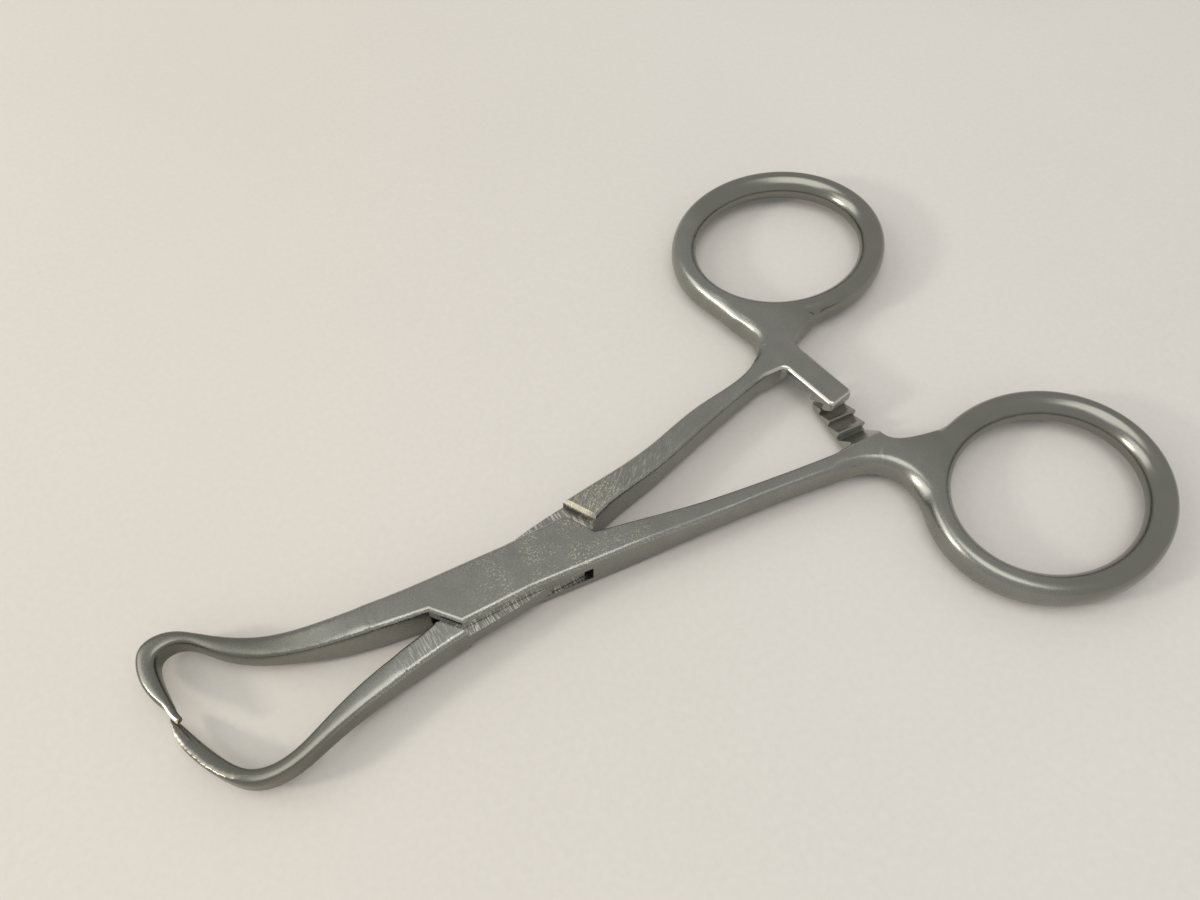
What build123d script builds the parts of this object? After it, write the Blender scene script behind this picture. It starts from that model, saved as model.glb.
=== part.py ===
from build123d import *
import os
from math import cos, radians, sin

# Towel clamp, two one-piece forgings joined by a box lock, and the lock pin.
# X runs along the instrument towards the finger rings, Z is up, and the pin
# axis is the Z axis.  The instrument lies flat on the plane Z = 0.  The box
# arm's ring is on the side of -Y, and "outwards" means away from the X axis.

# Thickness of the instrument, and where along it each thickness is reached
LOCK_THICKNESS = 4.2
MID = LOCK_THICKNESS / 2
SHANK_THICKNESS = 3.1
JAW_THICKNESS = 2.5
TIP_THICKNESS = 2.3
TONGUE_JAW_ROOT = 3.3
LOCK_REACH = 8.5
SHANK_REACH = 19.0
BOX_CHEEK_REACH = 12.5
TONGUE_CHEEK_REACH = 10.0
JAW_REACH = 22.0

# Box lock
PIN_DIAMETER = 2.2
PIN_CLEARANCE = 0.03
TONGUE_THICKNESS = 1.7
TONGUE_CLEARANCE = 0.05
PLATE_JAW_CORNER = (-6.6, -2.1)
PLATE_JAW_CROTCH = (-8.45, 0.4)
PLATE_SHANK_CORNER = (6.2, 2.15)
PLATE_SHANK_CROTCH = (7.6, -0.7)
LOCK_HALF_WIDTH = 2.5
LOCK_FLARE = 0.9
SLOT_JAW_POINT = (-5.7, 2.8)
SLOT_SHANK_POINT = (5.7, -3.4)
SHOULDER_GAP = 1.1
JAW_SHOULDER_GAP = 0.45
TONGUE_WAIST_UPPER = [(11.0, 3.7), (4.0, 3.25), (0.0, 2.6)]
TONGUE_WAIST_LOWER = [(0.0, -2.85), (2.4, -2.45), (5.6, -1.0), (8.8, 0.5)]

# Finger rings
RING_LONG_RADIUS = 11.0
RING_SHORT_RADIUS = 9.5
RING_BAND = 2.75
RING_THICKNESS = 3.3
RING_CREST_OFFSET = 0.2
RING_RIDGE_OFFSET = 1.17
RING_RIDGE_HEIGHT = 0.55
RING_FLAT_HEIGHT = 1.2
RING_INNER_Y = 9.9
BOX_HEAD_X = 34.95
TONGUE_HEAD_SETBACK = 1.15

# Ratchet
RATCHET_X = BOX_HEAD_X + 0.35
RATCHET_ROOT_Y = 5.0
RATCHET_WIDTH = 3.05
BOX_RATCHET_LENGTH = 6.0
TONGUE_RATCHET_LENGTH = 6.4
RATCHET_CORNER = 0.6
RATCHET_TILT = 7.0
BOX_BAR_FEET = (-0.95, -1.1)
TONGUE_BAR_FEET = (0.0, -1.0)
RATCHET_CUT_MARGINS = (0.6, 2.2)
BOX_RAMP = (-1.2, 0.9)
TONGUE_RAMP = (-0.5, 0.6)
RATCHET_PITCH = 1.6
TOOTH_DEPTH = 0.85
TOOTH_UNDERCUT = 0.12
TOOTH_LAND = 0.18
TOOTH_PASSING_GAP = 0.1
BOX_FIRST_TOOTH = 1.25
TONGUE_FIRST_TOOTH = 2.2

# Heads, where shank, ratchet and ring meet: along and outwards from the ratchet root
BOX_SHANK_END = (-3.9, 0.75)
BOX_NOTCH = [(2.0, 2.3), (3.3, 3.05), (5.3, 3.7)]
BOX_HEAD_SIDE = [(0.0, 9.0), (0.2, 6.0), (-1.1, 3.9)]
BOX_SHANK_START = (-5.0, 2.3)
BOX_ROUNDING_START = [(-1.6, 12.5)]
BOX_ROUNDING_END = [(-4.3, 2.65), (-7.3, 2.65)]
TONGUE_SHANK_END = (-3.8, 0.05)
TONGUE_NOTCH = [(1.9, 2.15), (3.1, 2.95), (4.7, 3.4)]
TONGUE_HEAD_SIDE = [(-1.8, 8.0), (-1.3, 4.9), (-2.7, 2.85)]
TONGUE_ROUNDING_START = [(-2.8, 12.5), (-2.1, 10.2)]
TONGUE_ROUNDING_END = [(-5.1, 2.5), (-7.8, 2.45)]

# Jaws: each hook is measured from its own tip
TONGUE_TIP = (-30.45, 5.6)
BOX_TIP_STEP = (0.95, -2.2)
BOX_TIP = (TONGUE_TIP[0] + BOX_TIP_STEP[0], TONGUE_TIP[1] + BOX_TIP_STEP[1])
BOX_HOOK_OUTER = [(-1.25, 2.5), (-1.75, 5.6), (-0.8, 7.85), (1.4, 8.05), (3.9, 6.35)]
BOX_HOOK_INNER = [(4.2, 4.05), (1.4, 6.5), (0.3, 6.3), (-0.2, 4.6), (-0.05, 2.0)]
TONGUE_HOOK_OUTER = [(-0.3, -1.8), (0.4, -5.0), (1.95, -8.2), (3.85, -10.3), (5.85, -10.9)]
TONGUE_HOOK_INNER = [(6.25, -9.55), (4.45, -9.05), (2.75, -6.9), (1.25, -3.4)]
BOX_HOOK_RELIEF = (0.9, 6.5)
TONGUE_HOOK_RELIEF = (4.95, -9.4)
BOX_HOOK_SLOPE = 0.27
TONGUE_HOOK_SLOPE = 0.235

# Softened edges
EDGE_ROUND = 0.45
HEAD_ROUND = 1.3
SHOULDER_BEVEL = 0.35


def flat(*edges):
    """Face inside the closed outline made by the edges."""
    return make_face(Wire([edge for part in edges for edge in part.edges()]))


def polygon(*points):
    """Face inside the straight-sided outline through the points."""
    return make_face(Polyline(*points, close=True))


def slab(face, low, high):
    """Plan face given a height from low to high."""
    return Pos(0, 0, low) * extrude(face, high - low, dir=(0, 0, 1))


def near(place, *steps, side=1):
    """Points each a step along X and a step outwards from one place."""
    return [(place[0] + along, place[1] + side * out) for along, out in steps]


def between(start, end, *shares):
    """Points a share of the way from start to end, and a share of its length to the left."""
    run_x, run_y = end[0] - start[0], end[1] - start[1]
    return [(start[0] + run_x * s - run_y * t, start[1] + run_y * s + run_x * t) for s, t in shares]


def ratchet_root(side):
    """Middle of the ratchet bar's root; side is -1 for the box arm and +1 for the tongue arm."""
    return (RATCHET_X, side * RATCHET_ROOT_Y)


def ring_centre(side):
    head = BOX_HEAD_X if side < 0 else BOX_HEAD_X - TONGUE_HEAD_SETBACK
    return (head + RING_LONG_RADIUS, side * (RING_INNER_Y + RING_SHORT_RADIUS))


def side_profile(jaw_root_half, cheek_reach):
    """Side view of an arm: thick at the lock, tapering smoothly along shank and jaw."""
    cheek = (-cheek_reach, MID + jaw_root_half)
    lock = (LOCK_REACH, LOCK_THICKNESS)
    shank = (SHANK_REACH, MID + SHANK_THICKNESS / 2)
    ring_end = (BOX_HEAD_X + 3 * RING_LONG_RADIUS, MID + SHANK_THICKNESS / 2)
    jaw = (-JAW_REACH, MID + JAW_THICKNESS / 2)
    tip = (TONGUE_TIP[0] - JAW_THICKNESS, MID + TIP_THICKNESS / 2)
    root = Line(lock, cheek)
    level = Line(ring_end, shank)
    back = Spline(shank, lock, tangents=[level % 1, root % 0])
    hook = Line(jaw, tip)
    taper = Spline(cheek, jaw, tangents=[root % 1, hook % 0])
    middle = Polyline(tip, (tip[0], MID), (ring_end[0], MID), ring_end)
    face = Plane.XZ * flat(level, back, root, taper, hook, middle)
    half = extrude(face, RING_INNER_Y + 3 * RING_SHORT_RADIUS, both=True)
    return half + mirror(half, Plane.XY.offset(MID))


def ring_point(side, offset, angle):
    """Point on the ring's centre line widened by an offset; angles open outwards from +X."""
    centre = ring_centre(side)
    turn = radians(angle)
    x = centre[0] + (RING_LONG_RADIUS + offset) * cos(turn)
    y = centre[1] + side * (RING_SHORT_RADIUS + offset) * sin(turn)
    return (x, y)


def ring_section(side, angle, crest, ridge_offset, ridge_height):
    """Cross-section of the ring: round outside, bevels meeting in a soft inner ridge."""
    outer = RING_BAND / 2
    turn = radians(angle)
    middle = ring_point(side, 0, angle)
    outward = Vector(cos(turn) / RING_LONG_RADIUS, side * sin(turn) / RING_SHORT_RADIUS, 0)
    along = outward.rotate(Axis.Z, 90)
    plane = Plane(origin=(middle[0], middle[1], MID), x_dir=outward, z_dir=along)
    rim = ThreePointArc((RING_CREST_OFFSET, -crest), (outer, 0), (RING_CREST_OFFSET, crest))
    ridge_top = (-ridge_offset, ridge_height)
    ridge = ThreePointArc(ridge_top, (-outer, 0), (-ridge_offset, -ridge_height))
    bevel_top = Line(rim @ 1, ridge @ 0)
    bevel_bottom = Line(ridge @ 1, rim @ 0)
    return plane * flat(rim, bevel_top, ridge, bevel_bottom)


def half_ring(side, head_angle, turn):
    """Half of a finger ring, from its flat part at the shank round to the far side."""
    centre = ring_centre(side)
    crest = RING_THICKNESS / 2
    flat_crest = SHANK_THICKNESS / 2 - 0.04
    flat_part = ring_section(side, side * head_angle, flat_crest, RING_RIDGE_OFFSET, RING_FLAT_HEIGHT)
    near_angle = side * (head_angle + turn * 0.38)
    near_part = ring_section(side, near_angle, crest, RING_RIDGE_OFFSET, RING_RIDGE_HEIGHT)
    far_part = ring_section(side, side * (head_angle + turn), crest, RING_RIDGE_OFFSET, RING_RIDGE_HEIGHT)
    start = min(head_angle, head_angle + turn)
    path = Edge.make_ellipse(
        RING_LONG_RADIUS, RING_SHORT_RADIUS, start_angle=start, end_angle=start + abs(turn)
    )
    path = Pos(centre[0], centre[1], MID) * path
    sections = [flat_part, near_part, far_part]
    if turn < 0:
        sections.reverse()
    return sweep(sections, path, multisection=True)


def finger_ring(side):
    """Oval ring whose inner bevel fades into the flat top of the shank."""
    head_angle = -140 * side
    return half_ring(side, head_angle, 180) + half_ring(side, head_angle, -180)


def ring_hole(side):
    """Clear opening through a finger ring."""
    centre = ring_centre(side)
    long_radius = RING_LONG_RADIUS - RING_BAND / 2 + 0.05
    short_radius = RING_SHORT_RADIUS - RING_BAND / 2 + 0.05
    opening = Pos(centre[0], centre[1]) * Ellipse(long_radius, short_radius)
    return slab(opening, 0, LOCK_THICKNESS)


def bar_point(side, across, along):
    """Point of a ratchet bar: across it towards the rings, and along it from the shank."""
    tilt = radians(RATCHET_TILT)
    root = ratchet_root(side)
    x = root[0] + across * cos(tilt) + along * sin(tilt)
    y = root[1] + side * (across * sin(tilt) - along * cos(tilt))
    return (x, y)


def bar_outline(side, shank_point, feet, length):
    """Jaw side, rounded end and ring side of a ratchet bar, from a point on the shank."""
    half = RATCHET_WIDTH / 2
    return FilletPolyline(
        shank_point, bar_point(side, -half, feet[0]), bar_point(side, -half, length),
        bar_point(side, half, length), bar_point(side, half, feet[1]),
        radius=RATCHET_CORNER,
    )


def ring_side(side):
    """Outline where the head meets the ring, buried in the ring's band."""
    ring_near = ring_point(side, RING_CREST_OFFSET, -100)
    ring_hub = ring_point(side, -RING_BAND / 2, -140)
    ring_far = ring_point(side, RING_CREST_OFFSET, 178)
    return ThreePointArc(ring_near, ring_hub, ring_far)


def box_outline():
    """Plan of the box arm from jaw tip to neck, its ring left off."""
    root = ratchet_root(-1)
    hook_outer = near(BOX_TIP, *BOX_HOOK_OUTER)
    hook_inner = near(BOX_TIP, *BOX_HOOK_INNER)
    side_top = (0.0, LOCK_HALF_WIDTH)
    side_bottom = (0.0, -LOCK_HALF_WIDTH)
    jaw_back = between(hook_outer[-1], side_top, (0.15, -0.061), (0.348, -0.083), (0.653, -0.059))
    jaw_outer = Spline(BOX_TIP, *hook_outer, *jaw_back, side_top)
    plate_side = Line(side_top, PLATE_SHANK_CORNER)
    plate_end = Line(PLATE_SHANK_CORNER, PLATE_SHANK_CROTCH)
    shank_end = near(root, BOX_SHANK_END, side=-1)[0]
    shank_run = between(PLATE_SHANK_CROTCH, shank_end, (0.212, -0.01), (0.579, -0.014))
    shank_inner = Spline(PLATE_SHANK_CROTCH, *shank_run, shank_end)
    bar = bar_outline(-1, shank_end, BOX_BAR_FEET, BOX_RATCHET_LENGTH)
    neck = ring_side(-1)
    notch = Spline(bar @ 1, *near(root, *BOX_NOTCH, side=-1), neck @ 0)
    shank_start = near(root, BOX_SHANK_START, side=-1)[0]
    flare = (PLATE_SHANK_CORNER[0], -LOCK_HALF_WIDTH - LOCK_FLARE)
    shank_back = between(shank_start, flare, (0.458, -0.007))
    head_side = near(root, *BOX_HEAD_SIDE, side=-1)
    shank_outer = Spline(neck @ 1, *head_side, shank_start, *shank_back, flare, side_bottom)
    lock_side = Line(side_bottom, PLATE_JAW_CORNER)
    lock_end = Line(PLATE_JAW_CORNER, PLATE_JAW_CROTCH)
    jaw_front = between(PLATE_JAW_CROTCH, hook_inner[0], (0.334, 0.06), (0.681, 0.08))
    jaw_inner = Spline(PLATE_JAW_CROTCH, *jaw_front, *hook_inner, BOX_TIP)
    return flat(
        jaw_outer, plate_side, plate_end, shank_inner, bar, notch, neck,
        shank_outer, lock_side, lock_end, jaw_inner,
    )


def tongue_outline():
    """Plan of the tongue arm from jaw tip to neck, its ring left off."""
    root = ratchet_root(1)
    hook_outer = near(TONGUE_TIP, *TONGUE_HOOK_OUTER)
    hook_inner = near(TONGUE_TIP, *TONGUE_HOOK_INNER)
    waist_lower = TONGUE_WAIST_LOWER
    waist_upper = TONGUE_WAIST_UPPER
    jaw_back = between(hook_outer[-1], waist_lower[0], (0.188, 0.01), (0.474, 0.028), (0.738, 0.022))
    shank_end = near(root, TONGUE_SHANK_END)[0]
    shank_run = between(waist_lower[-1], shank_end, (0.277, -0.003), (0.573, 0.0))
    lower_side = Spline(TONGUE_TIP, *hook_outer, *jaw_back, *waist_lower, *shank_run, shank_end)
    bar = bar_outline(1, shank_end, TONGUE_BAR_FEET, TONGUE_RATCHET_LENGTH)
    neck = ring_side(1)
    notch = Spline(bar @ 1, *near(root, *TONGUE_NOTCH), neck @ 0)
    head_side = near(root, *TONGUE_HEAD_SIDE)
    shank_back = between(head_side[-1], waist_upper[0], (0.401, 0.016), (0.702, 0.016))
    jaw_front = between(
        waist_upper[-1], hook_inner[0], (0.191, 0.02), (0.372, 0.032), (0.585, 0.009), (0.828, 0.007)
    )
    upper_side = Spline(
        neck @ 1, *head_side, *shank_back, *waist_upper, *jaw_front, *hook_inner, TONGUE_TIP
    )
    return flat(lower_side, bar, notch, neck, upper_side)


def offset_line(start, end, gap):
    """Line parallel to start-end, moved away from the pin by gap and made long at both ends."""
    run = Vector(*end) - Vector(*start)
    away = Vector(run.Y, -run.X).normalized()
    if away.dot(Vector(*start)) < 0:
        away = away * -1
    middle = (Vector(*start) + Vector(*end)) * 0.5 + away * gap
    first = middle - run * 4
    last = middle + run * 4
    return (first.X, first.Y), (last.X, last.Y)


def tongue_relief():
    """Plan of the part of the tongue arm thinned to pass through the box."""
    jaw_top, jaw_bottom = offset_line(PLATE_JAW_CROTCH, PLATE_JAW_CORNER, JAW_SHOULDER_GAP)
    shank_top, shank_bottom = offset_line(PLATE_SHANK_CORNER, PLATE_SHANK_CROTCH, SHOULDER_GAP)
    return polygon(jaw_top, shank_top, shank_bottom, jaw_bottom)


def slot_plan():
    """Plan of the slot through the box, open at both sides of the arm."""
    left = PLATE_JAW_CROTCH[0]
    right = PLATE_SHANK_CROTCH[0]
    clear = 3 * LOCK_HALF_WIDTH
    return polygon(
        PLATE_JAW_CROTCH, SLOT_JAW_POINT, (SLOT_JAW_POINT[0], clear), (right, clear),
        PLATE_SHANK_CROTCH, SLOT_SHANK_POINT, (SLOT_SHANK_POINT[0], -clear), (left, -clear),
    )


def tooth_line(first, length):
    """Saw-tooth edge in (distance from the shank, depth) with steep faces to the shank."""
    points = []
    root = first
    while root < length - RATCHET_CORNER:
        points.append((root, TOOTH_DEPTH))
        points.append((root - TOOTH_UNDERCUT, 0.0))
        points.append((root - TOOTH_UNDERCUT + TOOTH_LAND, 0.0))
        root = root + RATCHET_PITCH
    points.append((root, TOOTH_DEPTH))
    return points


def tooth_space(side, first, ramp, length):
    """What is cut from the half of a ratchet bar that faces the other arm.

    Side -1 is the box arm, cut from above, and +1 the tongue arm, cut from below.
    """
    crest = TOOTH_PASSING_GAP / 2
    foot = -crest - TOOTH_DEPTH
    teeth = [(y, -crest - depth) for y, depth in tooth_line(first, length)]
    clear = length + RATCHET_WIDTH
    line = [(ramp[0] - 0.3, SHANK_THICKNESS), (ramp[0], SHANK_THICKNESS / 2), (ramp[1], foot)]
    line = line + teeth + [(clear, foot), (clear, SHANK_THICKNESS)]
    view = Plane.YZ * polygon(*line)
    width = RATCHET_WIDTH + sum(RATCHET_CUT_MARGINS)
    space = Pos(RATCHET_WIDTH / 2 + RATCHET_CUT_MARGINS[0], 0, 0) * extrude(view, -width)
    turn = 180 if side > 0 else 0
    root = ratchet_root(side)
    place = Pos(root[0], root[1], MID) * Rot(0, 0, side * RATCHET_TILT)
    return place * Rot(turn, 0, 0) * space


def head_rounding(side, start, head_side, end):
    """Corner removed above and below along the outer side of the head, for a full round.

    Its path runs on the outer edge and swings clear of the arm at both ends.
    """
    path = Spline(*near(ratchet_root(side), *start, *head_side, *end, side=side))
    clearance = HEAD_ROUND / 22
    middle = SHANK_THICKNESS / 2 - HEAD_ROUND + clearance
    top = middle + HEAD_ROUND
    inner = clearance - HEAD_ROUND
    bulge = HEAD_ROUND * sin(radians(45))
    upper = ThreePointArc((inner, top), (inner + bulge, middle + bulge), (clearance, middle))
    side_line = Line((clearance, middle), (clearance, -middle))
    lower = ThreePointArc((clearance, -middle), (inner + bulge, -middle - bulge), (inner, -top))
    high = SHANK_THICKNESS
    out = HEAD_ROUND
    back = Polyline((inner, -top), (inner, -high), (out, -high), (out, high), (inner, high), (inner, top))
    plane = Plane(origin=path @ 0, x_dir=(-1, 0, 0), z_dir=path % 0)
    return Pos(0, 0, MID) * sweep(plane * flat(upper, side_line, lower, back), path)


def shoulder_bevel():
    """Wedges that bevel the upper and lower edges of the tongue arm's shank shoulder."""
    start, end = offset_line(PLATE_SHANK_CORNER, PLATE_SHANK_CROTCH, SHOULDER_GAP)
    run = Vector(*end) - Vector(*start)
    away = Vector(-run.Y, run.X)
    if away.X < 0:
        away = away * -1
    plane = Plane(origin=(start[0], start[1], 0), x_dir=away, z_dir=run)
    size = SHOULDER_BEVEL
    outside = SHOULDER_BEVEL
    up = 1 if plane.y_dir.Z > 0 else -1
    corners = [(-outside, -size - outside), (size + outside, outside), (-outside, outside)]
    face = plane * polygon(*[(x, up * (LOCK_THICKNESS + z)) for x, z in corners])
    upper = extrude(face, run.length, dir=run)
    return upper + mirror(upper, Plane.XY.offset(MID))


def box_tip_relief():
    """Wedge taken from under the box arm's hook so its tip passes above the other."""
    low = MID - JAW_THICKNESS / 2
    edge, root = near(BOX_TIP, BOX_HOOK_RELIEF)[0]
    end = BOX_TIP[1] - TIP_THICKNESS
    side = polygon((root, low), (end, low + (root - end) * BOX_HOOK_SLOPE), (end, low))
    return Pos(edge, 0, 0) * extrude(Plane.YZ * side, TONGUE_TIP[0])


def tongue_tip_relief():
    """Wedge taken from the top of the tongue arm's hook so its tip passes below."""
    high = MID + JAW_THICKNESS / 2
    edge, root = near(TONGUE_TIP, TONGUE_HOOK_RELIEF)[0]
    end = TONGUE_TIP[1] + TIP_THICKNESS
    side = polygon((root, high), (end, high), (end, high - (end - root) * TONGUE_HOOK_SLOPE))
    return Pos(edge, 0, 0) * extrude(Plane.YZ * side, TONGUE_TIP[0])


def pin_bore(radius):
    return Pos(0, 0, MID) * Cylinder(radius, LOCK_THICKNESS)


def rim_edges(arm, side):
    """Edges round the upper and lower faces, without the stretch buried in the ring."""
    centre = ring_centre(side)
    rim = []
    for edge in arm.edges():
        run = edge.position_at(1) - edge.position_at(0)
        middle = edge.position_at(0.5)
        across = (middle.X - centre[0]) / RING_LONG_RADIUS
        outwards = (middle.Y - centre[1]) / RING_SHORT_RADIUS
        if abs(run.X) > 0.01 and across ** 2 + outwards ** 2 > 1.1:
            rim.append(edge)
    return rim


def arm_blank(outline, side, profile):
    """Forged arm: plan outline given its side view, edges rounded, plus the finger ring."""
    arm = slab(outline, 0, LOCK_THICKNESS) & profile
    arm = fillet(rim_edges(arm, side), EDGE_ROUND)
    arm = arm - ring_hole(side)
    return arm + finger_ring(side)


def box_arm():
    arm = arm_blank(box_outline(), -1, side_profile(MID, BOX_CHEEK_REACH))
    reach = TONGUE_THICKNESS / 2 + TONGUE_CLEARANCE
    arm = arm - slab(slot_plan(), MID - reach, MID + reach)
    arm = arm - pin_bore(PIN_DIAMETER / 2)
    arm = arm - box_tip_relief()
    arm = arm - head_rounding(-1, BOX_ROUNDING_START, BOX_HEAD_SIDE, BOX_ROUNDING_END)
    return arm - tooth_space(-1, BOX_FIRST_TOOTH, BOX_RAMP, BOX_RATCHET_LENGTH)


def tongue_arm():
    profile = side_profile(TONGUE_JAW_ROOT / 2, TONGUE_CHEEK_REACH)
    arm = arm_blank(tongue_outline(), 1, profile)
    relief = tongue_relief()
    half = TONGUE_THICKNESS / 2
    arm = arm - slab(relief, MID + half, 2 * LOCK_THICKNESS)
    arm = arm - slab(relief, -LOCK_THICKNESS, MID - half)
    arm = arm - shoulder_bevel()
    arm = arm - pin_bore(PIN_DIAMETER / 2 + PIN_CLEARANCE)
    arm = arm - tongue_tip_relief()
    arm = arm - head_rounding(1, TONGUE_ROUNDING_START, TONGUE_HEAD_SIDE, TONGUE_ROUNDING_END)
    return arm - tooth_space(1, TONGUE_FIRST_TOOTH, TONGUE_RAMP, TONGUE_RATCHET_LENGTH)


def box_lock_pin():
    return pin_bore(PIN_DIAMETER / 2)


os.makedirs("parts", exist_ok=True)
export_step(box_arm(), "parts/box_arm.step")
export_step(tongue_arm(), "parts/tongue_arm.step")
export_step(box_lock_pin(), "parts/box_lock_pin.step")
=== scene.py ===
import math

import bpy
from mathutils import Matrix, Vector


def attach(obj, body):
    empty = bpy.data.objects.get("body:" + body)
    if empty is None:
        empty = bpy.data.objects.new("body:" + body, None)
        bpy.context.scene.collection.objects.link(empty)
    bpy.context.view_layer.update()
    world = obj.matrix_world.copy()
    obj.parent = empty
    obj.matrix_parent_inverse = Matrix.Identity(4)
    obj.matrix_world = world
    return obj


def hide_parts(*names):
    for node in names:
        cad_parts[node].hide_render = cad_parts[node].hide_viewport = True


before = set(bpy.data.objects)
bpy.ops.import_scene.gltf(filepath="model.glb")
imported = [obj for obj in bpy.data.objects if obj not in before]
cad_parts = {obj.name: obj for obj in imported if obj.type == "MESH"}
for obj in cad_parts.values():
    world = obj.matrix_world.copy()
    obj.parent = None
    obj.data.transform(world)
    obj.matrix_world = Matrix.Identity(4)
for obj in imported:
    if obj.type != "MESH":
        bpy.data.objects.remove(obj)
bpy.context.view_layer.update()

MM = 0.001

# Sizes are in millimetres unless they say otherwise, and places are measured from the lock pin
LOCK_TOP_Z = 4.2
MID_Z = LOCK_TOP_Z / 2

# Finger rings, as in the solids: the radii of the oval centre line, half the band's width, and
# where the rectangle round that line starts on each arm, along and outwards
RING_LONG_RADIUS = 11.0
RING_SHORT_RADIUS = 9.5
RING_HALF_BAND = 1.375
BOX_HEAD_X = 34.95
TONGUE_HEAD_X = 33.8
RING_INNER_Y = 9.9

# Section of a ring: its crest, across and up from the centre line, and the fullness of its sides
RING_CREST = (0.3, 1.62)
RING_OUTER_ROUNDNESS = 2.3
RING_INNER_ROUNDNESS = 1.75
SECTION_POINTS = 32
RING_POINTS = 64

# Legs of the rings into the heads: each point lies along and outwards from the corner, nearest
# the lock, of the rectangle round the ring
LEG_RADIUS = RING_HALF_BAND
BOX_LEGS = [
    [(0.0, 8.6), (0.7, 6.0), (1.75, 3.6), (1.9, 1.6), (1.5, 0.2)],
    [(11.0, 0.0), (8.0, 0.15), (5.5, 0.1), (3.6, -0.3), (2.6, -0.9)],
]
TONGUE_LEGS = [
    [(0.0, 8.6), (0.4, 6.2), (0.95, 4.0), (1.3, 2.0), (1.6, 0.3)],
    [(11.0, 0.0), (8.3, 0.1), (6.0, -0.15), (4.4, -0.55), (3.5, -1.0)],
]

# Lobes of the tongue in the open sides of the slot, clear of the slot's ends at every angle
TONGUE_THICKNESS = 1.7
SHANK_LOBE = [(1.2, -2.2), (2.4, -2.62), (5.2, -2.75), (5.55, -2.2), (5.75, -0.9), (3.5, -1.0)]
JAW_LOBE = [(-0.8, 1.2), (-0.8, 2.4), (-2.0, 2.62), (-4.75, 2.75), (-5.3, 1.9), (-4.8, 0.5)]
LOBE_EDGE = 0.08
LOBE_EDGE_STEPS = 2

# Swept forms: order of the curve, steps between its points, steps round a quarter of a rod, and
# the share of its radius that a rod has at its first point
SWEEP_ORDER = 4
SWEEP_STEPS = 6
ROD_STEPS = 8
ROD_POINT = 0.55

# Softened ends: size of their faces, how far each rim stands off the seam, and how far before
# the seam the copy starts that is rebuilt
SKIN_STEP = 0.13
SEAM = 0.05
SEAM_SPARE = 0.6
SEAM_HOLE_SIDES = 8
MERGE_DISTANCE = 0.0005
SMOOTH_PUSH = 0.5
SMOOTH_ANGLE = 26

# Ring ends: where the seam crosses the neck of the box arm, where the old ring gives way to the
# new one, from the same corner as the legs, and how far out each smoothing starts and how often
NECK = (34.9, 8.2)
CHORD = (3.2, 2.77)
HEAD_STAGES = [(0.25, 4), (0.8, 18)]

# Jaw ends: where the seams lie, the rod that keeps the box arm's tip long and blunt, and how far
# out each smoothing starts and how often
BOX_JAW_X = -13.0
TONGUE_JAW_X = -12.2
TIP_ROD = [(-30.3, 6.4, 2.7), (-30.22, 5.4, 2.78), (-30.0, 4.4, 2.84), (-29.5, 3.2, 2.9)]
TIP_ROD_RADIUS = 0.38
JAW_STAGES = [(0.25, 4), (2.0, 4), (7.0, 9)]

# Camera: where it looks, from which side, how high and from how far, and its lens
AIM = Vector((13.34, 7.36, MID_Z)) * MM
CAMERA_AZIMUTH = -32.88
CAMERA_ELEVATION = 56.58
CAMERA_DISTANCE = 93.53 * MM
LENS = 29.13
SENSOR_WIDTH = 36.0
CLIP_START = 5 * MM
CLIP_END = 10000 * MM

# Lamps: azimuth and elevation in degrees, distance and size in metres, watts and tint
LAMPS = {
    "window": (-125.0, 38.0, 0.50, 0.30, 0.55, (1.0, 0.99, 0.96)),
    "ceiling": (-32.0, 80.0, 0.60, 0.45, 1.15, (1.0, 0.98, 0.94)),
    "glint": (-105.0, 24.0, 0.42, 0.05, 0.55, (1.0, 0.92, 0.82)),
}
ROOM = (0.80, 0.79, 0.76)
ROOM_STRENGTH = 0.74

# Colours of the steel
STEEL = (0.23, 0.232, 0.212)
STEEL_DARK = (0.17, 0.168, 0.155)
STEEL_BRIGHT = (0.62, 0.61, 0.57)
# Painted shade: the darker steel of the jaws
JAW_SHADE_STEEL = (0.16, 0.157, 0.132)
RING_STEEL = (0.20, 0.195, 0.17)
# Bright colour of the worn specks and scratches, also of the painted highlight on the stop
WORN_AND_HIGHLIGHT_BRIGHT = (0.80, 0.75, 0.58)
# Bright colour of the milling marks, also of the painted glints and the painted highlights on the
# ratchet
CUTS_AND_HIGHLIGHTS_BRIGHT = (0.86, 0.84, 0.78)
# Painted warm highlight on the box arm's tip
TIP_HIGHLIGHT_GOLD = (0.95, 0.86, 0.70)
# Painted shade in the groove at the foot of the stop
GROOVE_SHADE_BROWN = (0.05, 0.038, 0.03)

# How strongly each finish, painted shade and painted highlight covers what lies under it
COVER = {
    "mottle": 0.28,
    "jaw": 0.75,
    "ring": 0.6,
    "specks": 0.55,
    "scratches": 0.4,
    "milling": 0.7,
    "edge_glints": 0.45,
    "stop highlight": 0.8,
    "ratchet side reflection": 0.12,
    "ratchet edge highlight": 0.5,
    "tip": 0.9,
    "groove_shade": 0.8,
}

# Spans over which a mask goes from nothing to full. By how much the surface faces upwards:
FLAT_TOP = (0.93, 0.99)
EDGE_LOW = (0.2, 0.4)
EDGE_HIGH = (0.90, 0.97)
SIDE_FACE = (0.15, 0.35)

# By how much it faces the jaws:
STOP_FACE = (0.25, 0.5)
TIP_FACE = (0.15, 0.4)

# By height:
PLATE_Z = (4.0, 4.15)
STRIP_Z = (3.6, 3.95)
STOP_EDGE_Z = (3.65, 3.8)
GROOVE_LOW = (2.6, 2.8)
GROOVE_HIGH = (3.45, 3.6)

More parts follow.
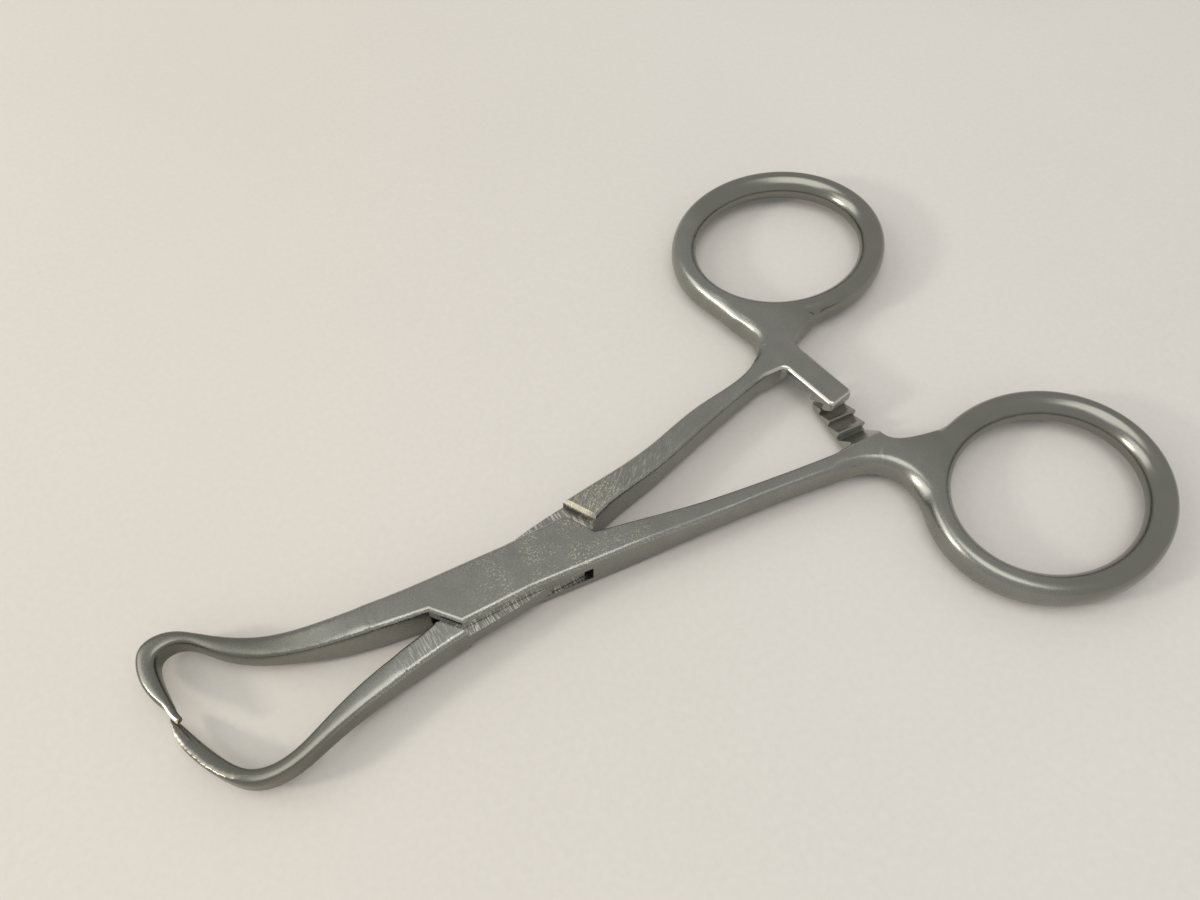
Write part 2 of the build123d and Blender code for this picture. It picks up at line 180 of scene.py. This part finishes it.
# By place along the clamp:
JAW_END = (-24.0, -12.0)
SPECKS_START = (-7.0, 1.0)
LOCK_END = (10.0, 24.0)
STRIP_END = (9.0, 14.0)
SHOULDER_START = (6.0, 8.0)
SHOULDER_END = (14.0, 24.0)
STOP_START = (6.0, 7.0)
STOP_END = (11.0, 12.0)
RATCHET_START = (30.0, 32.0)
RATCHET_END = (38.5, 40.0)
RING_START = (36.0, 41.0)

# By place across the clamp:
SHOULDER_Y = (0.0, 1.0)
STOP_Y = (0.5, 1.5)
RATCHET_Y = (5.0, 7.0)

# The tip of the box arm, where a warm highlight is painted, and the span of distances from it
BOX_TIP = (-29.5, 3.4, 2.2)
TIP_REACH = (1.2, 2.4)

# Noise in the steel: scale and detail, how much it shades the colour, and its middle value
CLOUDS = (0.45, 3.0)
GRAIN = (9.0, 2.0)
FINE_GRAIN = (26.0, 1.0)
CLOUD_SHADE = 0.6
GRAIN_SHADE = 0.9
NOISE_MIDDLE = 0.5

# Marks in the steel: scale and detail of their noise, and the span over which they show
PATCHES = (0.35, 2.0, (0.30, 0.52))
SPECKS = (6.0, 3.0, (0.52, 0.66))
# Painted glints along the bevels near the lock, partly edge wear
EDGE_GLINTS = (11.0, 2.0, (0.50, 0.64))
MILLING = (1.5, 2.0, (0.50, 0.62))
MILLING_STRETCH = (6.0, 0.5, 1.0)
SCRATCHES = (1.6, 3.0, (0.52, 0.66))
SCRATCH_TURN = (0, 0, 0.9)
SCRATCH_STRETCH = (8.0, 0.6, 1.0)

# Roughness of the steel, and what the finishes add or take away
STEEL_ROUGHNESS = 0.29
RING_POLISH = 0.07
GRAIN_ROUGHNESS = 0.14
WORN_ROUGHNESS = 0.15
CUT_POLISH = 0.08

# Relief of the steel: shares of the grain and of the marks, strength and depth
GRAIN_RELIEF = 0.6
FINE_RELIEF = 0.4
MARK_RELIEF = 0.5
STEEL_RELIEF = 0.2
STEEL_DEPTH = 0.02

# Sheet of paper: its tones and the direction and span in which they change, its noise, how much
# that darkens it, its roughness and relief, its size, and how far it lies below the clamp
# Painted shade: the left tone is darker and warmer than the right
PAPER_SHADED_LEFT = (0.675, 0.645, 0.595)
PAPER_RIGHT = (0.71, 0.69, 0.66)
PAPER_ACROSS = (0.84, -0.543)
PAPER_SPAN = (-60.0, 60.0)
PAPER_CLOUDS = (0.02, 3.0)
PAPER_TOOTH = (1.6, 4.0)
PAPER_SHADE = 0.16
PAPER_ROUGHNESS = 0.85
PAPER_RELIEF = 0.15
PAPER_DEPTH = 0.05
PAPER_SIZE = 4000
PAPER_DROP = 0.02
BLACK = (0.0, 0.0, 0.0)

# Sockets of a Mix node that mixes colours. Its other sockets have the same names
MIX_MASK = 0
MIX_FIRST = 6
MIX_SECOND = 7
MIX_RESULT = 2


def direction(azimuth, elevation):
    """Unit vector from the clamp towards a place round it, in degrees."""
    turn = math.radians(azimuth)
    rise = math.radians(elevation)
    flat = math.cos(rise)
    return Vector((math.sin(turn) * flat, -math.cos(turn) * flat, math.sin(rise)))


class Field:
    """A shader socket that Python arithmetic adds Math nodes to."""

    def __init__(self, paint, socket):
        self.paint = paint
        self.socket = socket

    def __add__(self, other):
        return self.paint.math("ADD", self, other)

    def __sub__(self, other):
        return self.paint.math("SUBTRACT", self, other)

    def __rsub__(self, other):
        return self.paint.math("SUBTRACT", other, self)

    def __mul__(self, other):
        return self.paint.math("MULTIPLY", self, other)

    __radd__ = __add__
    __rmul__ = __mul__


class Paint:
    """One material's node tree and the few ways this script adds to it."""

    def __init__(self, tree):
        self.tree = tree

    def node(self, kind, settings=None, inputs=None, output=0):
        """Add a node, first with its settings and then with its values and links."""
        made = self.tree.nodes.new(kind)
        for name, value in (settings or {}).items():
            setattr(made, name, value)
        for name, value in (inputs or {}).items():
            self.feed(made.inputs[name], value)
        return Field(self, made.outputs[output])

    def feed(self, socket, value):
        """Link a field to a socket, or set the socket's own value."""
        if isinstance(value, Field):
            self.tree.links.new(value.socket, socket)
        else:
            socket.default_value = value

    def math(self, operation, first, second):
        """Two values through a Math node."""
        return self.node("ShaderNodeMath", {"operation": operation}, {0: first, 1: second})

    def unsigned(self, value):
        """A value without its sign."""
        return self.math("ABSOLUTE", value, 0.0)

    def after(self, value, span):
        """0 before the span, 1 past it and smooth between."""
        inputs = {"Value": value, "From Min": span[0], "From Max": span[1]}
        return self.node("ShaderNodeMapRange", {"interpolation_type": "SMOOTHSTEP"}, inputs)

    def before(self, value, span):
        """1 before the span, 0 past it and smooth between."""
        return 1 - self.after(value, span)

    def noise(self, where, scale, detail):
        """Soft random values from 0 to 1."""
        inputs = {"Vector": where, "Scale": scale, "Detail": detail}
        return self.node("ShaderNodeTexNoise", {}, inputs)

    def marks(self, where, scale, detail, span):
        """Scattered marks, with nothing between them."""
        return self.after(self.noise(where, scale, detail), span)

    def blend(self, mask, first, second):
        """Colour between two colours."""
        inputs = {MIX_MASK: mask, MIX_FIRST: colour(first), MIX_SECOND: colour(second)}
        return self.node("ShaderNodeMix", {"data_type": "RGBA"}, inputs, MIX_RESULT)

    def axes(self, where):
        """The parts of a place or a direction along x, y and z."""
        split = self.node("ShaderNodeSeparateXYZ", {}, {"Vector": where}).socket.node
        return [Field(self, part) for part in split.outputs]

    def scaled(self, where, size):
        """Coordinates stretched by three factors."""
        return self.node("ShaderNodeMapping", {}, {"Vector": where, "Scale": size})

    def in_mm(self):
        """Place on the object in millimetres."""
        place = self.node("ShaderNodeTexCoord", output="Object")
        return self.scaled(place, (1 / MM, 1 / MM, 1 / MM))

    def facing(self):
        """Direction that the surface faces."""
        return self.axes(self.node("ShaderNodeTexCoord", output="Normal"))


def colour(value):
    """Colour with its alpha, or a field as it is."""
    return value if isinstance(value, Field) else (*value, 1.0)


def new_material(name):
    """Material with nodes, the paint for its tree, and its shader."""
    material = bpy.data.materials.new(name)
    material.use_nodes = True
    shader = material.node_tree.nodes["Principled BSDF"]
    return material, Paint(material.node_tree), shader


def satin_steel():
    """Fine bead-blasted stainless steel, smoother on the rings, worn and milled at the lock, with
    painted shade and highlights.
    """
    material, paint, shader = new_material("satin_steel")
    in_mm = paint.in_mm()
    x, y, z = paint.axes(in_mm)
    facing = paint.facing()
    up = facing[2]
    to_jaws = facing[0] * -1.0
    reach = paint.unsigned(x)

    flat_top = paint.after(up, FLAT_TOP)
    edge = paint.after(up, EDGE_LOW) * paint.before(up, EDGE_HIGH)
    near_lock = paint.before(reach, LOCK_END)
    plate = flat_top * paint.after(z, PLATE_Z) * near_lock
    tongue_strip = flat_top * paint.before(z, STRIP_Z) * paint.before(reach, STRIP_END)
    shoulder = paint.after(x, SHOULDER_START) * paint.before(x, SHOULDER_END)
    shoulder = shoulder * paint.after(y, SHOULDER_Y)
    stop = paint.after(to_jaws, STOP_FACE) * paint.after(y, STOP_Y)
    stop = stop * paint.after(x, STOP_START) * paint.before(x, STOP_END)
    # Painted shade, a nearly black brown, in the groove at the foot of the stop face
    groove_shade = stop * paint.after(z, GROOVE_LOW) * paint.before(z, GROOVE_HIGH)
    ratchet = paint.after(x, RATCHET_START) * paint.before(x, RATCHET_END)
    ratchet = ratchet * paint.before(paint.unsigned(y), RATCHET_Y)
    ring = paint.after(x, RING_START)
    jaw = paint.before(x, JAW_END)
    to_tip = {0: in_mm, 1: BOX_TIP}
    from_tip = paint.node("ShaderNodeVectorMath", {"operation": "DISTANCE"}, to_tip, "Value")
    # Painted warm highlight on the box arm's tip, on faces turned towards the jaws
    tip = paint.before(from_tip, TIP_REACH) * paint.after(to_jaws, TIP_FACE)

    cloud = paint.noise(in_mm, *CLOUDS)
    grain = paint.noise(in_mm, *GRAIN)
    fine = paint.noise(in_mm, *FINE_GRAIN)
    specks = paint.marks(in_mm, *SPECKS) * paint.marks(in_mm, *PATCHES)
    specks = specks * paint.after(x, SPECKS_START)
    # Painted glints along the bevels near the lock, partly edge wear
    edge_glints = paint.marks(in_mm, *EDGE_GLINTS) * edge * near_lock
    milling = paint.marks(paint.scaled(in_mm, MILLING_STRETCH), *MILLING) * tongue_strip
    turned = paint.node("ShaderNodeMapping", {}, {"Vector": in_mm, "Rotation": SCRATCH_TURN})
    scratches = paint.marks(paint.scaled(turned, SCRATCH_STRETCH), *SCRATCHES) * shoulder

    uneven = grain - NOISE_MIDDLE
    shade = (cloud - NOISE_MIDDLE) * CLOUD_SHADE + uneven * GRAIN_SHADE + NOISE_MIDDLE
    worn = specks * plate * COVER["specks"] + scratches * flat_top * COVER["scratches"]
    # Real milling marks together with the painted glints on the bevels
    cuts_and_glints = milling * COVER["milling"] + edge_glints * COVER["edge_glints"]
    # Painted highlight along the top of the stop face
    stop_highlight = stop * paint.after(z, STOP_EDGE_Z)
    # Painted reflection on the side faces of the ratchet teeth and painted highlight on their
    # edges
    ratchet_highlights = paint.before(up, SIDE_FACE) * COVER["ratchet side reflection"] + edge * COVER["ratchet edge highlight"]
    base = paint.blend(COVER["mottle"], STEEL, paint.blend(shade, STEEL_DARK, STEEL_BRIGHT))
    # Painted shade that darkens the jaws
    base = paint.blend(jaw * COVER["jaw"], base, JAW_SHADE_STEEL)
    base = paint.blend(ring * COVER["ring"], base, RING_STEEL)
    base = paint.blend(worn, base, WORN_AND_HIGHLIGHT_BRIGHT)
    base = paint.blend(cuts_and_glints, base, CUTS_AND_HIGHLIGHTS_BRIGHT)
    base = paint.blend(stop_highlight * COVER["stop highlight"], base, WORN_AND_HIGHLIGHT_BRIGHT)
    base = paint.blend(ratchet * ratchet_highlights, base, CUTS_AND_HIGHLIGHTS_BRIGHT)
    base = paint.blend(tip * COVER["tip"], base, TIP_HIGHLIGHT_GOLD)
    base = paint.blend(groove_shade * COVER["groove_shade"], base, GROOVE_SHADE_BROWN)
    paint.feed(shader.inputs["Base Color"], base)

    shader.inputs["Metallic"].default_value = 1.0
    rough = STEEL_ROUGHNESS - ring * RING_POLISH + uneven * GRAIN_ROUGHNESS
    rough = rough + worn * WORN_ROUGHNESS - cuts_and_glints * CUT_POLISH
    paint.feed(shader.inputs["Roughness"], rough)
    height = grain * GRAIN_RELIEF + fine * FINE_RELIEF
    height = height + (scratches + milling + edge_glints) * MARK_RELIEF
    relief = {"Strength": STEEL_RELIEF, "Distance": STEEL_DEPTH * MM, "Height": height}
    paint.feed(shader.inputs["Normal"], paint.node("ShaderNodeBump", {}, relief))
    return material


def paper():
    """Pale, slightly warm sheet with a faint tooth, with painted shade a little darker on the
    left.
    """
    material, paint, shader = new_material("paper")
    in_mm = paint.in_mm()
    x, y, _ = paint.axes(in_mm)
    cloud = paint.noise(in_mm, *PAPER_CLOUDS)
    tooth = paint.noise(in_mm, *PAPER_TOOTH)
    shade = (cloud + tooth) * 0.5
    to_right = paint.after(x * PAPER_ACROSS[0] + y * PAPER_ACROSS[1], PAPER_SPAN)
    sheet = paint.blend(to_right, PAPER_SHADED_LEFT, PAPER_RIGHT)
    paint.feed(shader.inputs["Base Color"], paint.blend(shade * PAPER_SHADE, sheet, BLACK))
    shader.inputs["Roughness"].default_value = PAPER_ROUGHNESS
    relief = {"Strength": PAPER_RELIEF, "Distance": PAPER_DEPTH * MM, "Height": tooth}
    paint.feed(shader.inputs["Normal"], paint.node("ShaderNodeBump", {}, relief))
    return material


def hold(thing):
    """Deselect all but one object and make it active."""
    bpy.ops.object.select_all(action="DESELECT")
    thing.select_set(True)
    bpy.context.view_layer.objects.active = thing


def merged_copy(node):
    """Copy of a CAD node with its loose triangles joined, and old marks and shading cleared."""
    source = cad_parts[node]
    skin = source.copy()
    skin.data = source.data.copy()
    skin.name = node + "_skin"
    for key in list(skin.keys()):
        del skin[key]
    skin.parent = None
    bpy.context.scene.collection.objects.link(skin)
    hold(skin)
    bpy.ops.object.mode_set(mode="EDIT")
    bpy.ops.mesh.select_all(action="SELECT")
    bpy.ops.mesh.remove_doubles(threshold=MERGE_DISTANCE * MM)
    bpy.ops.object.mode_set(mode="OBJECT")
    bpy.ops.mesh.customdata_custom_splitnormals_clear()
    return skin


def cut(thing, point, towards, fill=False):
    """Cut the object off at a plane and keep what lies towards the given direction."""
    hold(thing)
    bpy.ops.object.mode_set(mode="EDIT")
    bpy.ops.mesh.select_all(action="SELECT")
    bpy.ops.mesh.bisect(plane_co=point, plane_no=towards, use_fill=fill, clear_inner=True)
    bpy.ops.object.mode_set(mode="OBJECT")


def swept(name, points, section, cyclic=False):
    """Closed mesh swept along points in mm; section is a rod's radius or a section curve."""
    curve = bpy.data.curves.new(name, "CURVE")
    curve.dimensions = "3D"
    curve.twist_mode = "Z_UP"
    spline = curve.splines.new("NURBS")
    spline.points.add(len(points) - 1)
    for made, (x, y, z) in zip(spline.points, points):
        made.co = (x * MM, y * MM, z * MM, 1.0)
    spline.use_cyclic_u = cyclic
    spline.order_u = SWEEP_ORDER
    spline.use_endpoint_u = not cyclic
    spline.resolution_u = SWEEP_STEPS
    if isinstance(section, float):
        spline.points[0].radius = ROD_POINT
        curve.bevel_depth = section * MM
        curve.bevel_resolution = ROD_STEPS
        curve.use_fill_caps = True
    else:
        curve.bevel_mode = "OBJECT"
        curve.bevel_object = section
    piece = bpy.data.objects.new(name, curve)
    bpy.context.scene.collection.objects.link(piece)
    hold(piece)
    bpy.ops.object.convert(target="MESH")
    return piece


def ring_section():
    """Section curve of a finger ring: full and round outside, leaner and sloping inside."""
    crest_across, crest_up = RING_CREST
    corners = []
    for step in range(SECTION_POINTS):
        across = math.cos(math.tau * step / SECTION_POINTS)
        rise = math.sin(math.tau * step / SECTION_POINTS)
        outer = across > 0
        power = 2 / (RING_OUTER_ROUNDNESS if outer else RING_INNER_ROUNDNESS)
        width = RING_HALF_BAND - crest_across if outer else RING_HALF_BAND + crest_across
        x = crest_across + width * math.copysign(abs(across) ** power, across)
        z = crest_up * math.copysign(abs(rise) ** power, rise)
        corners.append((x, z))
    curve = bpy.data.curves.new("ring_section", "CURVE")
    spline = curve.splines.new("POLY")
    spline.points.add(len(corners) - 1)
    for made, (x, z) in zip(spline.points, corners):
        made.co = (x * MM, z * MM, 0.0, 1.0)
    spline.use_cyclic_u = True
    section = bpy.data.objects.new("ring_section", curve)
    bpy.context.scene.collection.objects.link(section)
    return section


def ring_band(centre, section):
    """Finger ring swept round its oval centre line."""
    points = []
    for step in range(RING_POINTS):
        turn = math.tau * step / RING_POINTS
        x = centre[0] + RING_LONG_RADIUS * math.cos(turn)
        y = centre[1] + RING_SHORT_RADIUS * math.sin(turn)
        points.append((x, y, MID_Z))
    return swept("ring_band", points, section, cyclic=True)


def fine_end(skin, point, towards, limits, extras):
    """End of an arm beyond a plane, rebuilt in fine faces with closed forms fused into it.

    Limits are further planes, each with the side to keep, that trim the old mesh.
    """
    end = skin.copy()
    end.data = skin.data.copy()
    bpy.context.scene.collection.objects.link(end)
    cut(end, point - towards * SEAM_SPARE * MM, towards, fill=True)
    for limit_point, limit_towards in limits:
        cut(end, Vector(limit_point) * MM, Vector(limit_towards), fill=True)
    hold(end)
    for extra in extras:
        extra.select_set(True)
    if extras:
        bpy.ops.object.join()
    fine = end.modifiers.new("fine", "REMESH")
    fine.mode = "VOXEL"
    fine.voxel_size = SKIN_STEP * MM
    bpy.ops.object.modifier_apply(modifier="fine")
    cut(end, point + towards * SEAM * MM, towards)
    return end


def join_at_seam(skin, end):
    """Join an end to its arm and close the narrow gap between their two open rims."""
    hold(skin)
    end.select_set(True)
    bpy.ops.object.join()
    bpy.ops.object.mode_set(mode="EDIT")
    bpy.ops.mesh.select_mode(type="EDGE")
    bpy.ops.mesh.select_all(action="DESELECT")
    bpy.ops.mesh.select_non_manifold(
        extend=False, use_wire=False, use_boundary=True, use_multi_face=False,
        use_non_contiguous=False, use_verts=False,
    )
    bpy.ops.mesh.bridge_edge_loops()
    bpy.ops.mesh.select_all(action="SELECT")
    bpy.ops.mesh.fill_holes(sides=SEAM_HOLE_SIDES)
    bpy.ops.mesh.select_mode(type="VERT")
    bpy.ops.object.mode_set(mode="OBJECT")


def soft_end(skin, point, towards, limits, extras, stages):
    """Give an arm a fine end beyond a plane, and smooth it more the further out it lies."""
    point = Vector(point) * MM
    towards = Vector(towards).normalized()
    end = fine_end(skin, point, towards, limits, extras)
    for beyond, repeat in stages:
        for vertex in end.data.vertices:
            vertex.select = (vertex.co - point).dot(towards) > beyond * MM
        bpy.ops.object.mode_set(mode="EDIT")
        bpy.ops.mesh.vertices_smooth(factor=SMOOTH_PUSH, repeat=repeat)
        bpy.ops.object.mode_set(mode="OBJECT")
    cut(skin, point - towards * SEAM * MM, -towards)
    join_at_seam(skin, end)


def soft_ring(skin, side, head_x, legs):
    """Ring and head of an arm, with the ring's two legs flowing into the head."""
    centre = (head_x + RING_LONG_RADIUS, side * (RING_INNER_Y + RING_SHORT_RADIUS))
    neck = (NECK[0] + head_x - BOX_HEAD_X, side * NECK[1], MID_Z)
    towards = Vector((1, side, 0))
    rods = []
    for leg in legs:
        points = [(head_x + along, side * (RING_INNER_Y + out), MID_Z) for along, out in leg]
        rods.append(swept("leg", points, LEG_RADIUS))
    section = ring_section()
    rods.append(ring_band(centre, section))
    chord = (head_x + CHORD[0], side * (RING_INNER_Y + CHORD[1]), MID_Z)
    soft_end(skin, neck, towards, [(chord, -towards)], rods, HEAD_STAGES)
    bpy.data.objects.remove(section)


def soft_jaw(skin, start_x, rods):
    """Jaw and hook of an arm, with the cut faces worn round as on the polished piece."""
    soft_end(skin, (start_x, 0.0, MID_Z), (-1, 0, 0), [], rods, JAW_STAGES)


def add_lobe(skin, outline):
    """Broad lobe of the tongue that fills the open side of the slot beside the pin."""
    low = MID_Z - TONGUE_THICKNESS / 2
    bpy.ops.object.select_all(action="DESELECT")
    bpy.ops.mesh.primitive_circle_add(vertices=len(outline), fill_type="NGON", location=(0, 0, 0))
    lobe = bpy.context.object
    for corner, (x, y) in zip(lobe.data.vertices, outline):
        corner.co = (x * MM, y * MM, low * MM)
    bpy.ops.object.mode_set(mode="EDIT")
    bpy.ops.mesh.select_all(action="SELECT")
    rise = {"value": (0, 0, TONGUE_THICKNESS * MM)}
    bpy.ops.mesh.extrude_region_move(TRANSFORM_OT_translate=rise)
    bpy.ops.mesh.select_all(action="SELECT")
    bpy.ops.mesh.normals_make_consistent(inside=False)
    bpy.ops.mesh.bevel(offset=LOBE_EDGE * MM, segments=LOBE_EDGE_STEPS)
    bpy.ops.object.mode_set(mode="OBJECT")
    hold(skin)
    lobe.select_set(True)
    bpy.ops.object.join()


def finish_skin(skin, node, body, material):
    """Shade the curves smooth, with flats kept flat, and stand the skin in for its node."""
    hold(skin)
    bpy.ops.object.shade_smooth_by_angle(angle=math.radians(SMOOTH_ANGLE))
    weigh = skin.modifiers.new("weigh", "WEIGHTED_NORMAL")
    weigh.mode = "FACE_AREA"
    weigh.keep_sharp = True
    bpy.ops.object.modifier_apply(modifier="weigh")
    skin.data.materials.clear()
    skin.data.materials.append(material)
    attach(skin, body)
    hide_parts(node)


def add_floor():
    """Sheet of paper that the clamp lies on."""
    bpy.ops.object.select_all(action="DESELECT")
    bpy.ops.mesh.primitive_plane_add(size=PAPER_SIZE * MM, location=(0, 0, -PAPER_DROP * MM))
    floor = bpy.context.object
    floor.name = "floor"
    floor.data.materials.append(paper())


def add_lamp(name, azimuth, elevation, distance, size, watts, tint):
    """Square soft lamp that faces the clamp."""
    lamp = bpy.data.lights.new(name, "AREA")
    lamp.shape = "SQUARE"
    lamp.size = size
    lamp.energy = watts
    lamp.color = tint
    holder = bpy.data.objects.new(name, lamp)
    towards = direction(azimuth, elevation)
    holder.location = AIM + towards * distance
    holder.rotation_euler = towards.to_track_quat("Z", "Y").to_euler()
    bpy.context.scene.collection.objects.link(holder)


def light_room():
    """Pale even room and its soft lamps."""
    world = bpy.data.worlds.new("room")
    world.use_nodes = True
    bpy.context.scene.world = world
    background = world.node_tree.nodes["Background"]
    background.inputs["Color"].default_value = colour(ROOM)
    background.inputs["Strength"].default_value = ROOM_STRENGTH
    for name, lamp in LAMPS.items():
        add_lamp(name, *lamp)


def add_camera():
    """Camera at the photograph's viewing angle."""
    camera = bpy.data.cameras.new("camera")
    camera.lens = LENS
    camera.sensor_width = SENSOR_WIDTH
    camera.clip_start = CLIP_START
    camera.clip_end = CLIP_END
    holder = bpy.data.objects.new("camera", camera)
    back = direction(CAMERA_AZIMUTH, CAMERA_ELEVATION)
    holder.location = AIM + back * CAMERA_DISTANCE
    holder.rotation_mode = "QUATERNION"
    holder.rotation_quaternion = back.to_track_quat("Z", "Y")
    bpy.context.scene.collection.objects.link(holder)
    bpy.context.scene.camera = holder


steel = satin_steel()
box_skin = merged_copy("box_arm")
soft_ring(box_skin, -1, BOX_HEAD_X, BOX_LEGS)
soft_jaw(box_skin, BOX_JAW_X, [swept("tip", TIP_ROD, TIP_ROD_RADIUS)])
finish_skin(box_skin, "box_arm", "box_half", steel)
tongue_skin = merged_copy("tongue_arm")
soft_ring(tongue_skin, 1, TONGUE_HEAD_X, TONGUE_LEGS)
soft_jaw(tongue_skin, TONGUE_JAW_X, [])
add_lobe(tongue_skin, SHANK_LOBE)
add_lobe(tongue_skin, JAW_LOBE)
finish_skin(tongue_skin, "tongue_arm", "tongue_half", steel)
finish_skin(merged_copy("box_lock_pin"), "box_lock_pin", "box_half", steel)
add_floor()
light_room()
add_camera()
bpy.context.scene.view_settings.view_transform = "Standard"
